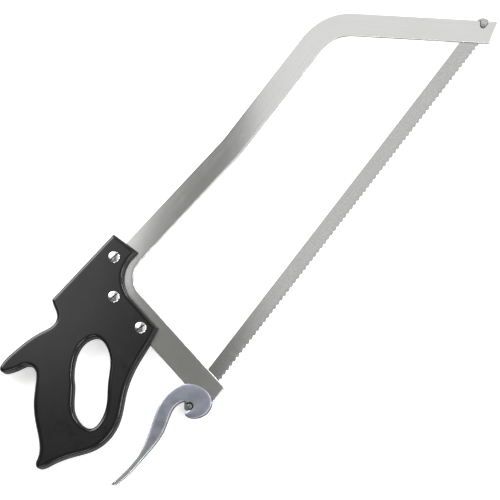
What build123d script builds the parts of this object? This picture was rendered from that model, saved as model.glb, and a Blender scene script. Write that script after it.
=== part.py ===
from build123d import *
import os
from math import cos, radians, sin, tan

# Butcher's bone saw: a bent plate frame, a two-part moulded handle held by three saw screws,
# a pinned blade hooked in a notch at the nose, and a hook-and-cam lever that tightens it.
#
# Working frame, in millimetres: the rear blade pin is the origin, +X runs along the blade to the
# nose, +Y goes up to the spine (the teeth face -Y) and the plate's mid-plane is Z = 0.
# The finished saw is moved so that the row's origin is the bottom centre of its box.

# Blade
blade_length = 558.8  # between pin centres, 22 inches
blade_width = 19.4  # back to tooth tips
blade_thickness = 0.8
tooth_pitch = 6.35
tooth_depth = 2.0
tooth_lead = 0.35  # tip's place within its pitch
tooth_run_out = 14.0  # plain length beside each pin
pin_edge = 1.0  # bevel round each pin's ends
front_pin_radius = 2.4
front_pin_proud = 1.2  # beyond each face of the plate
rear_pin_radius = 3.2
blade_tail = 6.4  # blade's rear end beyond its pin
tail_clip = (8.4, 6.3)  # cut off the rear end's upper corner, along and across

# Frame, bent from flat bar
plate_thickness = 4.8
leg_width = 31.0
spine_width = 27.6
arm_width = 26.6
throat_depth = 133.6  # blade line to the upper spine's inner edge
leg_lean = 10.2  # degrees off square to the blade
pin_to_leg = 13.4  # rear pin centre to the leg's outer edge
leg_below = 18.8  # leg's end below the blade line
kink_from_pin = 269.5  # where the spine starts to drop, along the blade
spine_drop = 5.5  # degrees
kink_radius = 160.0
arm_angle = 56.6  # degrees from the blade
pin_to_arm_edge = 6.0  # front pin centre to the arm's outer edge
bend_outer_radius = 69.5
throat_radius = 28.5
nose_below = 15.6  # nose end below the front pin
nose_rise = 15.0  # degrees, slope of the nose's end
plate_edge = 0.9  # broken edges of the plate
plate_corner = 1.2  # rounding of the bar's cut corners
kerf_clearance = 0.2  # each side of the blade
kerf_beyond = 2.0  # slot depth beyond the blade's back
pin_clearance = 0.08  # radial, pin in its seat
notch_lean = 34.0  # degrees, rear wall of the nose notch above the blade line

# Handle, in its own axes: u along the lower spine to the nose, v outwards,
# from the corner where the outer edges of leg and spine meet
scale_thickness = 12.0
handle_edge = 2.8  # rounding of the outside edges and of the hand hole
spine_cover = 15.4  # handle beyond the spine's outer edge
handle_end = (56.8, 60.6)  # u of the end, at its outer and inner corner
bare_spine = 8.2  # plate left showing inside the throat, along the spine
bare_leg = 10.6  # and along the leg
handle_throat_radius = 34.0
leg_exit = 97.6  # v where the leg leaves the handle
pocket_clearance = 0.1
tang_extra = 5.0  # hidden widening of the plate for the upper screw
tang_length = 46.0
hand_hole_middle = (-86.8, -84.4)
hand_hole_lean = 40.1  # degrees, of its long axis
hand_hole = (
    (0, 20.0), (30.0, 19.2), (48.0, 8.6), (52.6, -3.0), (36.0, -19.0),
    (0, -20.0), (-32.0, -18.4), (-52.6, -3.0), (-42.0, 13.4), (-24.0, 19.2),
)
grip_outline = (
    (-8.3, -103.2), (-40.6, -110.4), (-70.5, -123.4), (-92.6, -137.0),  # front of the grip
    (-121.0, -143.8), (-140.5, -139.8), (-165.5, -125.2), (-187.0, -115.2),
    (-196.2, -111.2), (-199.8, -106.4), (-197.4, -102.0), (-190.6, -99.0),  # spur
    (-181.5, -92.9), (-165.6, -72.1), (-147.8, -51.2), (-127.0, -35.2),  # back of the grip
    (-119.8, -26.0), (-121.8, -17.0), (-132.0, -11.6),  # web of the hand
    (-142.0, -6.4), (-147.6, -0.8), (-147.6, 3.6), (-142.0, 6.4),  # horn
    (-124.0, 6.6), (-106.5, 4.4), (-88.0, 0.2), (-76.5, -4.0), (-65.5, -6.0),
    (-57.4, -2.2), (-52.8, 5.6),  # hollow below the top edge
)
top_corner = -47.4  # u where the handle's top edge begins

# Saw screws: domed head and shank in front, flush sleeve nut behind
screw_places = {"upper": (37.6, -4.0), "middle": (3.8, -35.6), "lower": (-1.2, -83.3)}
head_radius = 6.6
head_seat = 2.4  # depth of the head's counterbore
dome_rise = 1.5
shank_radius = 2.4
sleeve_radius = 3.5
sleeve_wall_end = 1.6  # sleeve stops this far short of the front head
driver_slot_width = 1.5
driver_slot_depth = 1.1
hole_clearance = 0.15

# Lever: a forked hook with a cam inside, drawn at rest with its hook on the rear pin
cheek_thickness = 4.0
fork_clearance = 0.3  # each side of the plate
lever_kerf_clearance = 0.3  # each side of the blade
blade_swing_clearance = 0.6  # round the blade's end
fork_reach = 38.0  # the fork's depth, from the rear pin
cam_clearance = 0.15
blade_travel = 6.0  # let out as the lever swings open
lever_swing = 100.0  # degrees
hook_relief_radius = 4.8  # dished outside face round the pin
hook_relief_depth = 1.4
tail_depth = 8.0  # across the tail's tip
tail_taper_from = -30.0  # x where the tail starts to thin
lever_edge = 1.1  # bevel round the outline
lever_back = ((-126.6, 19.2), (-110.0, 15.4), (-94.0, 13.5), (-78.0, 13.5), (-64.0, 15.6),
              (-50.0, 19.4), (-34.0, 25.0), (-17.0, 29.2), (-2.0, 28.9), (10.0, 25.2),
              (19.2, 18.0), (24.6, 7.6), (26.1, -3.6), (23.6, -12.8), (17.4, -18.8),
              (8.4, -20.9), (-1.0, -18.2), (-8.2, -12.0), (-11.4, -5.6))
claw_tip = (-10.6, -1.8)
claw_lip = (-7.4, -1.0)
seat_from = -122.0  # degrees round the pin, where the hook's seat begins
throat_lip = (1.0, 8.3)
lever_front = ((-4.5, 11.8), (-11.0, 13.4), (-22.0, 11.8), (-36.0, 7.4), (-50.0, 5.0),
               (-66.0, 5.0), (-84.0, 6.0), (-102.0, 7.4), (-114.0, 9.8), (-124.4, 13.0))

half_plate = plate_thickness / 2
half_blade = blade_width / 2
half_lever = half_plate + fork_clearance + cheek_thickness


# Plane geometry: a line is a point and a unit direction

def heading(angle):
    return Vector(cos(radians(angle)), sin(radians(angle)))


def shifted(line, distance):
    """The parallel line at that distance to the left."""
    point, way = line
    return (point + Vector(-way.Y, way.X) * distance, way)


def meet(first, second):
    (p, d), (q, e) = first, second
    t = ((q.X - p.X) * e.Y - (q.Y - p.Y) * e.X) / (d.X * e.Y - d.Y * e.X)
    return p + d * t


def slab(face, thickness):
    """Extrudes a face equally to both sides of the mid-plane."""
    return extrude(face, amount=thickness / 2, both=True)


leg_way = heading(90 - leg_lean)
leg_out = Vector(leg_way.Y, -leg_way.X)  # from the rear pin, square to the leg
leg_outer = (leg_out * pin_to_leg, leg_way)
leg_inner = shifted(leg_outer, -leg_width)
upper_inner = (Vector(0, throat_depth), Vector(1, 0))
upper_outer = shifted(upper_inner, spine_width)
kink = Vector(kink_from_pin, throat_depth + spine_width / 2)
spine_middle = (kink, heading(-spine_drop))
lower_outer = shifted(spine_middle, spine_width / 2)
lower_inner = shifted(spine_middle, -spine_width / 2)
arm_way = heading(-arm_angle)
arm_out = Vector(-arm_way.Y, arm_way.X)
front_pin = Vector(blade_length, 0)
arm_outer = (front_pin + arm_out * pin_to_arm_edge, arm_way)
arm_inner = shifted(arm_outer, -arm_width)
leg_end = (Vector(0, -leg_below), Vector(1, 0))
nose_end = (front_pin - Vector(0, nose_below), heading(nose_rise))
heel = meet(leg_outer, lower_outer)
handle_plane = Plane(origin=heel, x_dir=lower_outer[1], z_dir=(0, 0, 1))


def on_handle(place):
    return handle_plane.from_local_coords(Vector(*place))


# Frame

def plate_face():
    """The bent bar with its widened, hidden tang."""
    tang_outer = shifted(lower_outer, tang_extra)
    corners = [
        (meet(leg_end, leg_outer), plate_corner),
        (meet(leg_outer, tang_outer), 3),
        (on_handle((tang_length, tang_extra)), plate_corner),
        (on_handle((tang_length + tang_extra, 0)), plate_corner),
        (meet(lower_outer, upper_outer), kink_radius),
        (meet(upper_outer, arm_outer), bend_outer_radius),
        (meet(arm_outer, nose_end), plate_corner),
        (meet(arm_inner, nose_end), plate_corner),
        (meet(upper_inner, arm_inner), bend_outer_radius - arm_width),
        (meet(lower_inner, upper_inner), kink_radius),
        (meet(leg_inner, lower_inner), throat_radius),
        (meet(leg_inner, leg_end), plate_corner),
    ]
    points = [corner for corner, radius in corners]
    radii = [radius for corner, radius in corners]
    return make_face(FilletPolyline(*points, radius=radii, close=True))


def blade_kerf():
    """Saw slots across both ends of the bar, a little above the blade's back."""
    top = half_blade + kerf_beyond
    low = -leg_below - 5
    width = blade_thickness + 2 * kerf_clearance
    rear = Pos(leg_width / 2 + pin_to_leg, (top + low) / 2) * Rectangle(3 * leg_width, top - low)
    front = Pos(blade_length, (top + low) / 2) * Rectangle(4 * arm_width, top - low)
    return slab(rear, width) + slab(front, width)


def nose_notch():
    """Seat for the front pin, opening outwards and forwards through the arm's edge."""
    radius = front_pin_radius + pin_clearance
    reach = 3 * pin_to_arm_edge
    rear_way = heading(notch_lean)
    rear_wall = Vector(-rear_way.Y, rear_way.X) * radius
    mouth = Polyline(
        front_pin + rear_wall,
        front_pin + rear_wall + rear_way * reach,
        front_pin + Vector(reach, -radius),
        front_pin + Vector(0, -radius),
        front_pin,
        close=True,
    )
    seat = Pos(front_pin) * Circle(radius)
    return slab(make_face(mouth) + seat, 2 * plate_thickness)


def make_frame():
    plate = slab(plate_face(), plate_thickness)
    rims = plate.edges().filter_by(lambda edge: abs(abs(edge.center().Z) - half_plate) < 1e-6)
    plate = chamfer(rims, plate_edge)
    plate -= blade_kerf()
    plate -= nose_notch()
    for place in screw_places.values():
        plate -= Pos(on_handle(place)) * Cylinder(sleeve_radius + hole_clearance, 2 * plate_thickness)
    return plate


# Handle

def handle_face():
    """Outline of the handle, in handle axes, with the hand hole cut out."""
    spine_edge = -spine_width + bare_spine
    leg_tilt = tan(radians(90 - leg_lean + spine_drop))
    leg_edge = (leg_width - bare_leg) / sin(radians(90 - leg_lean + spine_drop))
    inner_end = (handle_end[1], spine_edge)
    throat_corner = (leg_edge + spine_edge / leg_tilt, spine_edge)
    leg_corner = (leg_edge - leg_exit / leg_tilt, -leg_exit)
    top_start = (top_corner, spine_cover)
    outline = [
        FilletPolyline(top_start, (handle_end[0], spine_cover), inner_end, throat_corner,
                       leg_corner, radius=[0, 0, handle_throat_radius]),
        Spline(leg_corner, *grip_outline, top_start),
    ]
    hole = make_face(Spline(*hand_hole, periodic=True))
    return make_face(Curve() + outline) - Pos(hand_hole_middle) * Rot(0, 0, hand_hole_lean) * hole


def scale_blank():
    """One side of the handle before it is pocketed: flat inside, rounded outside."""
    blank = extrude(handle_face(), amount=scale_thickness)
    outside = blank.faces().sort_by(Axis.Z)[-1]
    return handle_plane * fillet(outside.edges(), handle_edge)


def plate_pocket():
    """Recess for the plate, open where the spine and the leg leave the handle."""
    return slab(offset(plate_face(), amount=pocket_clearance), plate_thickness)


def screw_hole(place, radius, depth_from, depth_to):
    length = depth_to - depth_from
    middle = (depth_from + depth_to) / 2
    return Pos(on_handle(place)) * Pos(0, 0, middle) * Cylinder(radius, length)


def make_front_scale():
    scale = scale_blank() - plate_pocket()
    for place in screw_places.values():
        scale -= screw_hole(place, head_radius + hole_clearance, scale_thickness - head_seat,
                            scale_thickness + 5)
        scale -= screw_hole(place, sleeve_radius + hole_clearance, -1, scale_thickness)
    return scale


def make_back_scale():
    scale = mirror(scale_blank(), about=Plane.XY) - plate_pocket()
    for place in screw_places.values():
        scale -= screw_hole(place, head_radius + hole_clearance, -scale_thickness - 5,
                            -scale_thickness + head_seat)
        scale -= screw_hole(place, sleeve_radius + hole_clearance, -scale_thickness, 1)
    return scale


def make_screw(place, turn):
    """Front half of a saw screw: domed, slotted head on a shank."""
    seat = scale_thickness - head_seat
    head = Pos(0, 0, seat + head_seat / 2) * Cylinder(head_radius, head_seat)
    ball = (head_radius ** 2 + dome_rise ** 2) / (2 * dome_rise)
    dome = Pos(0, 0, scale_thickness + dome_rise - ball) * Sphere(ball)
    dome &= Pos(0, 0, scale_thickness + dome_rise) * Cylinder(head_radius, 2 * dome_rise)
    shank_end = -scale_thickness + head_seat + sleeve_wall_end
    shank = Pos(0, 0, (seat + shank_end) / 2) * Cylinder(shank_radius, seat - shank_end)
    slot = Pos(0, 0, scale_thickness + dome_rise) * Rot(0, 0, turn) * Box(
        4 * head_radius, driver_slot_width, 2 * driver_slot_depth + dome_rise
    )
    return Pos(on_handle(place)) * (head + dome + shank - slot)


def make_sleeve_nut(place, turn):
    """Back half of a saw screw: flush head and a sleeve that takes the shank."""
    head_top = -scale_thickness + head_seat
    head = Pos(0, 0, (head_top - scale_thickness) / 2) * Cylinder(head_radius, head_seat)
    sleeve_end = scale_thickness - head_seat - sleeve_wall_end
    sleeve = Pos(0, 0, (sleeve_end + head_top) / 2) * Cylinder(sleeve_radius, sleeve_end - head_top)
    bore_depth = sleeve_end - head_top - sleeve_wall_end
    bore = Pos(0, 0, sleeve_end - bore_depth / 2) * Cylinder(shank_radius, bore_depth)
    slot = Pos(0, 0, -scale_thickness) * Rot(0, 0, turn) * Box(
        4 * head_radius, driver_slot_width, 2 * driver_slot_depth
    )
    return Pos(on_handle(place)) * (head + sleeve - bore - slot)


# Blade and its pins

def tooth_gullets():
    """Everything to cut from the band's lower edge: gullets, and the plain runs' relief."""
    root = -half_blade + tooth_depth
    count = int((blade_length - 2 * tooth_run_out) / tooth_pitch)
    outline = [Vector(-blade_width, root)]
    for tooth in range(count):
        start = tooth_run_out + tooth * tooth_pitch
        outline.append(Vector(start, root))
        outline.append(Vector(start + tooth_lead * tooth_pitch, -half_blade))
    outline += [
        Vector(tooth_run_out + count * tooth_pitch, root),
        Vector(blade_length + blade_width, root),
        Vector(blade_length + blade_width, -blade_width),
        Vector(-blade_width, -blade_width),
    ]
    return make_face(Polyline(*outline, close=True))


def tail_waste():
    """Everything to cut from the band's rear end, past a square end with a clipped corner."""
    along, across = tail_clip
    return make_face(Polyline(
        (along - blade_tail, blade_width), (along - blade_tail, half_blade),
        (-blade_tail, half_blade - across), (-blade_tail, -blade_width),
        (-blade_width, -blade_width), (-blade_width, blade_width), close=True,
    ))


def make_blade():
    band = Pos(blade_length / 2, 0) * SlotCenterToCenter(blade_length, blade_width)
    band -= tooth_gullets()
    band -= tail_waste()
    band -= Circle(rear_pin_radius)
    band -= Pos(front_pin) * Circle(front_pin_radius)
    return slab(band, blade_thickness)


def make_pin(place, radius, length):
    pin = Cylinder(radius, length)
    return Pos(place) * chamfer(pin.edges().filter_by(GeomType.CIRCLE), pin_edge)


# Lever

def cam_line(angle):
    """Point where the cam touches the leg when the lever has turned by angle."""
    rate = blade_travel * cos(radians(leg_lean)) / radians(lever_swing)
    height = pin_to_leg - cam_clearance - rate * radians(angle)
    way = heading(-leg_lean - angle)
    return way * height + Vector(-way.Y, way.X) * rate


def cam_face():
    """All of the lever that may fill the plate's plane: the cam, and the tail beyond it."""
    far = 300
    steps = 10
    curve = [cam_line(lever_swing * step / steps) for step in range(steps + 1)]
    last_way = heading(-leg_lean - lever_swing)
    along_last = Vector(last_way.Y, -last_way.X)
    start_way = heading(90 - leg_lean)
    outline = [
        Spline(*curve),
        Polyline(curve[-1], curve[-1] + along_last * far, Vector(-far, far),
                 curve[0] + start_way * far, curve[0]),
    ]
    return make_face(Curve() + outline)


def blade_sweep_face():
    """Everything the blade passes over, seen from the lever, as the lever swings."""
    radius = half_blade + blade_swing_clearance
    far = 300
    last = heading(-lever_swing)
    side = Vector(last.Y, -last.X) * radius
    sweep = Polyline(Vector(0, radius), Vector(far, radius), Vector(far, -far),
                     side + last * far, side, Vector(0, 0), close=True)
    return make_face(sweep) + Circle(radius)


def lever_face():
    seat = rear_pin_radius + pin_clearance
    seat_start = heading(seat_from) * seat
    outline = [
        Spline(*lever_back),
        ThreePointArc(lever_back[-1], claw_tip, claw_lip),
        Line(claw_lip, seat_start),
        ThreePointArc(seat_start, (seat, 0), (0, seat)),
        Line((0, seat), throat_lip),
        Spline(throat_lip, *lever_front),
        Line(lever_front[-1], lever_back[0]),
    ]
    return make_face(Curve() + outline)


def tail_taper():
    """Side view of the lever: full depth at the fork, thinner towards the tail's tip."""
    tip = lever_back[0][0] - 5
    far = 60
    side = Polyline((far, half_lever), (tail_taper_from, half_lever), (tip, tail_depth / 2),
                    (tip, -tail_depth / 2), (tail_taper_from, -half_lever), (far, -half_lever),
                    close=True)
    return extrude(Plane.XZ * make_face(side), amount=200, both=True)


def make_lever():
    face = lever_face()
    depth = 2 * half_lever
    lever = slab(face, depth)
    rims = lever.edges().filter_by(GeomType.BSPLINE)
    lever = chamfer(rims, lever_edge)
    lever &= tail_taper()
    fork = Circle(fork_reach) - cam_face()
    lever -= slab(fork, plate_thickness + 2 * fork_clearance)
    lever -= slab(blade_sweep_face(), blade_thickness + 2 * lever_kerf_clearance)
    for side in (1, -1):
        lever -= Pos(0, 0, side * half_lever) * Cylinder(hook_relief_radius, 2 * hook_relief_depth)
    return lever


def make_parts():
    parts = {
        "frame": make_frame(),
        "handle_front_scale": make_front_scale(),
        "handle_back_scale": make_back_scale(),
        "blade": make_blade(),
        "front_blade_pin": make_pin(front_pin, front_pin_radius, plate_thickness + 2 * front_pin_proud),
        "rear_blade_pin": make_pin((0, 0), rear_pin_radius, 2 * (half_lever - hook_relief_depth)),
        "cam_lever": make_lever(),
    }
    for number, (name, place) in enumerate(screw_places.items()):
        turn = -10 - 4 * number  # each slot stops where its screw is tight
        parts[name + "_handle_screw"] = make_screw(place, turn)
        parts[name + "_sleeve_nut"] = make_sleeve_nut(place, 90 - turn)
    return parts


parts = make_parts()
box = Compound(children=[part.solid() for part in parts.values()]).bounding_box()
shift = Pos(-(box.min.X + box.max.X) / 2, -(box.min.Y + box.max.Y) / 2, -box.min.Z)
os.makedirs("parts", exist_ok=True)
for name, part in parts.items():
    placed = shift * part.solid()
    placed.label = name
    export_step(placed, "parts/" + name + ".step")
print("rear pin centre", shift.position)
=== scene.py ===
import math

import bmesh
import bpy
import numpy as np
from mathutils import Matrix, Vector
from mathutils.geometry import delaunay_2d_cdt


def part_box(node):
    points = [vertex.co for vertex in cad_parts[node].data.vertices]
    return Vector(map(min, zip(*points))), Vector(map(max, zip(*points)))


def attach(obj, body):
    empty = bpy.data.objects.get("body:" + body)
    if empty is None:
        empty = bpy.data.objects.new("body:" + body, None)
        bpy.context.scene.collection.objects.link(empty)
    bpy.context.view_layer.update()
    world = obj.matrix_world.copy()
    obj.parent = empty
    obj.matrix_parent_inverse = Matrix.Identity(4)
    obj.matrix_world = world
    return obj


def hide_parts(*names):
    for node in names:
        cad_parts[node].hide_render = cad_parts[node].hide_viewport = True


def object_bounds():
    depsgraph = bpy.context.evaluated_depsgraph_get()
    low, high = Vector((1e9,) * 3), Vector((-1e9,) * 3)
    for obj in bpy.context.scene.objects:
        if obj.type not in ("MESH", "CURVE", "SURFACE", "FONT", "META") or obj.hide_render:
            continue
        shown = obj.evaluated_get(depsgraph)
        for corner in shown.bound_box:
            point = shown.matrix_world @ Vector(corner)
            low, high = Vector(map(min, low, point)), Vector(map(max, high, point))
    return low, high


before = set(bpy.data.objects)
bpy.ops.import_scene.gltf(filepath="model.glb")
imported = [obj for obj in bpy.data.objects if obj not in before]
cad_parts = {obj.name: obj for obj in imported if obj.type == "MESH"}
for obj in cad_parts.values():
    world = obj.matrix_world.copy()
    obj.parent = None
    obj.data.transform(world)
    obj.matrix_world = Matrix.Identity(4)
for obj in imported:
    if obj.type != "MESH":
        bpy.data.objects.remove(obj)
cadBox = [list(corner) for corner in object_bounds()]

# Butcher's bone saw lying on its side: a bent steel bar, a black moulded handle in two halves,
# a toothed blade and a hook lever. Shapes are worked out in millimetres round the rear blade pin,
# x along the blade to the nose, y up to the spine, z through the thickness.

mm = 0.001
rearPin = sum(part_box("rear_blade_pin"), Vector()) / 2
frontPin = (sum(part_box("front_blade_pin"), Vector()) / 2 - rearPin) / mm
print("frame loaded, blade", round(frontPin.x, 1), "mm between its pins")


# Mesh helpers. Shapes come in millimetres and meshes are in metres.

def toMetres(x, y, z):
    return rearPin + Vector((x, y, z)) * mm


def newPiece(name, bm, materialName):
    mesh = bpy.data.meshes.new(name)
    bm.to_mesh(mesh)
    bm.free()
    mesh.materials.append(bpy.data.materials[materialName])
    piece = bpy.data.objects.new(name, mesh)
    bpy.context.scene.collection.objects.link(piece)
    return piece


def bake(piece):
    # applies every modifier to the mesh
    graph = bpy.context.evaluated_depsgraph_get()
    mesh = bpy.data.meshes.new_from_object(piece.evaluated_get(graph))
    piece.modifiers.clear()
    piece.data = mesh
    return piece


def cutAway(piece, *cutters):
    for cutter in cutters:
        boolean = piece.modifiers.new("cut", "BOOLEAN")
        boolean.object = cutter
        boolean.operation = "DIFFERENCE"
        boolean.solver = "EXACT"
    bake(piece)
    for cutter in cutters:
        bpy.data.objects.remove(cutter)
    return piece


def smoothShade(piece, angle=32):
    piece.data.shade_smooth()
    piece.data.set_sharp_from_angle(angle=math.radians(angle))
    weighted = piece.modifiers.new("normals", "WEIGHTED_NORMAL")
    weighted.keep_sharp = True
    return bake(piece)


def paintShadeOnWalls(piece, materialName):
    # the upright faces get a darker material: painted shade, standing in for the shade on walls that would
    # otherwise mirror the bright floor
    refinish(piece, materialName, lambda place, facing: abs(facing.z) < 0.42)


def refinish(piece, materialName, rule):
    # a second material for the faces that the rule picks by their middle, in millimetres, and facing
    if materialName not in piece.data.materials:
        piece.data.materials.append(bpy.data.materials[materialName])
    index = piece.data.materials.find(materialName)
    for face in piece.data.polygons:
        if face.material_index == 0 and rule((face.center - rearPin) / mm, face.normal):
            face.material_index = index


def markPoints(piece, name, rule):
    attribute = piece.data.attributes.new(name, "FLOAT", "POINT")
    attribute.data.foreach_set("value", [rule((vert.co - rearPin) / mm) for vert in piece.data.vertices])


def sectionLoops(node, height):
    # closed outlines of a CAD piece, cut level at a height above the blade's mid-plane, longest first
    bm = bmesh.new()
    bm.from_mesh(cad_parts[node].data)
    bmesh.ops.remove_doubles(bm, verts=bm.verts, dist=1e-6)
    bmesh.ops.bisect_plane(bm, geom=bm.verts[:] + bm.edges[:] + bm.faces[:], dist=1e-7,
                           plane_co=toMetres(0, 0, height), plane_no=(0, 0, 1),
                           clear_inner=True, clear_outer=True)
    bmesh.ops.remove_doubles(bm, verts=bm.verts, dist=2e-6)
    left = set(bm.verts)
    loops = []
    while left:
        vert = left.pop()
        loop = [vert]
        while True:
            ahead = [edge.other_vert(vert) for edge in vert.link_edges]
            ahead = [other for other in ahead if other in left]
            if not ahead:
                break
            vert = ahead[0]
            left.remove(vert)
            loop.append(vert)
        loops.append([((v.co - rearPin) / mm).xy for v in loop])
    bm.free()
    return sorted(loops, key=loopLength, reverse=True)


def loopLength(loop):
    return sum((loop[i] - loop[i - 1]).length for i in range(len(loop)))


def loopArea(loop):
    return sum(loop[i - 1].cross(loop[i]) for i in range(len(loop))) / 2


def evenLoop(loop, step, corner=24):
    # the same outline with even steps between its sharp corners
    count = len(loop)
    corners = []
    for i in range(count):
        before = loop[i] - loop[i - 1]
        after = loop[(i + 1) % count] - loop[i]
        if before.length > 0 and after.length > 0 and before.angle(after) > math.radians(corner):
            corners.append(i)
    if not corners:
        corners = [0]
    points, sharp = [], []
    for k, first in enumerate(corners):
        last = corners[(k + 1) % len(corners)]
        span = (last - first) % count or count
        run = [loop[(first + i) % count] for i in range(span + 1)]
        lengths = np.cumsum([0] + [(run[i + 1] - run[i]).length for i in range(span)])
        pieces = max(1, round(lengths[-1] / step))
        spots = np.linspace(0, lengths[-1], pieces + 1)[:-1]
        xs = np.interp(spots, lengths, [p.x for p in run])
        ys = np.interp(spots, lengths, [p.y for p in run])
        points += [Vector(pair) for pair in zip(xs, ys)]
        sharp += [len(corners) > 1 and i == 0 for i in range(pieces)]
    for strength in (0.5, -0.52) * 4:  # smooths the run without shrinking it
        shifted = []
        for i, point in enumerate(points):
            middle = (points[i - 1] + points[(i + 1) % len(points)]) / 2
            near = sharp[i] or sharp[i - 1] or sharp[(i + 1) % len(points)]
            shifted.append(point if near else point.lerp(middle, strength))
        points = shifted
    return points


def inwardWays(loop):
    ways = []
    for i, point in enumerate(loop):
        before = (point - loop[i - 1]).normalized()
        after = (loop[(i + 1) % len(loop)] - point).normalized()
        across = Vector((-before.y, before.x))
        middle = (across + Vector((-after.y, after.x))).normalized()
        ways.append(middle / max(0.4, middle.dot(across)))
    return ways


def roomInward(loops, ways):
    # how far each outline point may move inwards before it meets another part of the outline
    points = np.array([p for loop in loops for p in loop])
    normals = np.array([w.normalized() for way in ways for w in way])
    room = np.full(len(points), 1e9)
    for i in range(len(points)):
        gap = points - points[i]
        depth = gap @ normals[i]
        far = (gap ** 2).sum(1)
        facing = depth > 0.02 * np.sqrt(far) + 1e-6
        if facing.any():
            room[i] = (far[facing] / (2 * depth[facing])).min()
    return room


def slab(name, loops, profile, materialName, rounded=(), spacing=9.0, depthAt=None):
    # a plate with shaped edges: profile lists (inset, height) from the lower face to the upper one,
    # and depthAt may make it thinner from place to place
    loops = [list(loop) for loop in loops]
    for k, loop in enumerate(loops):
        if (loopArea(loop) > 0) != (k == 0):
            loop.reverse()
    ways = [inwardWays(loop) for loop in loops]
    room = roomInward(loops, ways) * 0.92  # stops short of the far side
    bm = bmesh.new()
    mask = bm.loops.layers.float.new("edgeMask")
    masks = {}
    rings = []
    for k, (inset, height) in enumerate(profile):
        level, index = [], 0
        for loop, way in zip(loops, ways):
            ring = []
            for point, across in zip(loop, way):
                spot = point + across * min(inset, room[index])
                share = depthAt(spot) if depthAt else 1
                vert = bm.verts.new(toMetres(spot.x, spot.y, height * share))
                masks[vert] = 1.0 if k in rounded else 0.0
                ring.append(vert)
                index += 1
            level.append(ring)
        rings.append(level)
    for lower, upper in zip(rings, rings[1:]):
        for below, above in zip(lower, upper):
            for i in range(len(below)):
                bm.faces.new((below[i - 1], below[i], above[i], above[i - 1]))
    fillLevel(bm, rings[0], -1, spacing, profile[0][1], depthAt)
    fillLevel(bm, rings[-1], 1, spacing, profile[-1][1], depthAt)
    for face in bm.faces:
        for corner in face.loops:
            corner[mask] = masks.get(corner.vert, 0.0)
    return newPiece(name, bm, materialName)


def crossings(point, outline):
    # times a ray from the point to the right crosses the outline
    here, there = outline, np.roll(outline, -1, axis=0)
    spans = (here[:, 1] > point.y) != (there[:, 1] > point.y)
    here, there = here[spans], there[spans]
    x = here[:, 0] + (point.y - here[:, 1]) / (there[:, 1] - here[:, 1]) * (there[:, 0] - here[:, 0])
    return int((x > point.x).sum())


def fillLevel(bm, level, facing, spacing, height, depthAt):
    coords, edges, verts = [], [], []
    for ring in level:
        start = len(coords)
        coords += [vert.co.xy / mm for vert in ring]
        verts += ring
        edges += [(start + i, start + (i + 1) % len(ring)) for i in range(len(ring))]
    border = np.array(coords)
    low, high = border.min(0), border.max(0)
    for x in np.arange(low[0] + spacing / 2, high[0], spacing):
        for y in np.arange(low[1] + spacing / 2, high[1], spacing):
            if ((border - (x, y)) ** 2).sum(1).min() > (0.6 * spacing) ** 2:
                coords.append(Vector((x, y)))
    spots, _, faces, origins, _, _ = delaunay_2d_cdt(coords, edges, [], 1, 1e-6)
    corners = []
    for spot, origin in zip(spots, origins):
        known = [i for i in origin if i < len(verts)]
        if known:
            corners.append(verts[known[0]])
        else:
            place = Vector((spot.x, spot.y)) - rearPin.xy / mm
            share = depthAt(place) if depthAt else 1
            corners.append(bm.verts.new(toMetres(place.x, place.y, height * share)))
    outlines = []
    for ring in level:
        outlines.append(np.array([(vert.co.x / mm, vert.co.y / mm) for vert in ring]))
    for face in faces:
        middle = sum((spots[i] for i in face), Vector((0, 0))) / 3
        if sum(crossings(middle, outline) for outline in outlines) % 2:
            bm.faces.new([corners[i] for i in face][::facing])
    for vert in corners:
        if not vert.link_faces:
            bm.verts.remove(vert)


def turned(name, profile, centre, materialName, steps=48, bored=False):
    # a solid of revolution about z: profile lists (radius, height) from the lower end to the upper one,
    # and back down the bore where there is one
    bm = bmesh.new()
    rings = []
    for radius, height in profile:
        ring = []
        for i in range(steps):
            angle = math.tau * i / steps
            ring.append(bm.verts.new(toMetres(centre.x + radius * math.cos(angle),
                                              centre.y + radius * math.sin(angle), height)))
        rings.append(ring)
    for below, above in zip(rings, rings[1:]):
        for i in range(steps):
            bm.faces.new((below[i - 1], below[i], above[i], above[i - 1]))
    if bored:
        for i in range(steps):
            bm.faces.new((rings[-1][i - 1], rings[-1][i], rings[0][i], rings[0][i - 1]))
    else:
        bm.faces.new(rings[0][::-1])
        bm.faces.new(rings[-1])
    return newPiece(name, bm, materialName)


def markTurning(piece, centre):
    markPoints(piece, "turnRadius", lambda place: (place.xy - centre.xy).length)


def block(name, low, high, materialName):
    loop = [Vector((low[0], low[1])), Vector((high[0], low[1])),
            Vector((high[0], high[1])), Vector((low[0], high[1]))]
    return slab(name, [loop], [(0, low[2]), (0, high[2])], materialName, spacing=500)


def roundedEdge(width, drop, face, steps=6):
    # (inset, height) pairs that turn from a wall up to a level face
    points = []
    for i in range(steps + 1):
        angle = math.pi / 2 * i / steps
        points.append((width * (1 - math.cos(angle)), face - drop * (1 - math.sin(angle))))
    return points


def bothSides(upper):
    # the lower half of a profile mirrors the upper half
    return [(inset, -height) for inset, height in upper[::-1]] + upper


# Finishes. Each effect below is a node group that several materials place with their own values.

def addNode(tree, kind, values=None, **settings):
    # a shader node with its sockets filled: a socket as a value is linked, anything else is typed in
    node = tree.nodes.new("ShaderNode" + kind)
    for name, value in settings.items():
        setattr(node, name, value)
    for name, value in (values or {}).items():
        if isinstance(value, bpy.types.NodeSocket):
            tree.links.new(value, node.inputs[name])
        else:
            node.inputs[name].default_value = value
    return node


def sums(tree, operation, first, second, clamp=False):
    return addNode(tree, "Math", {0: first, 1: second}, operation=operation, use_clamp=clamp).outputs[0]


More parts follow.
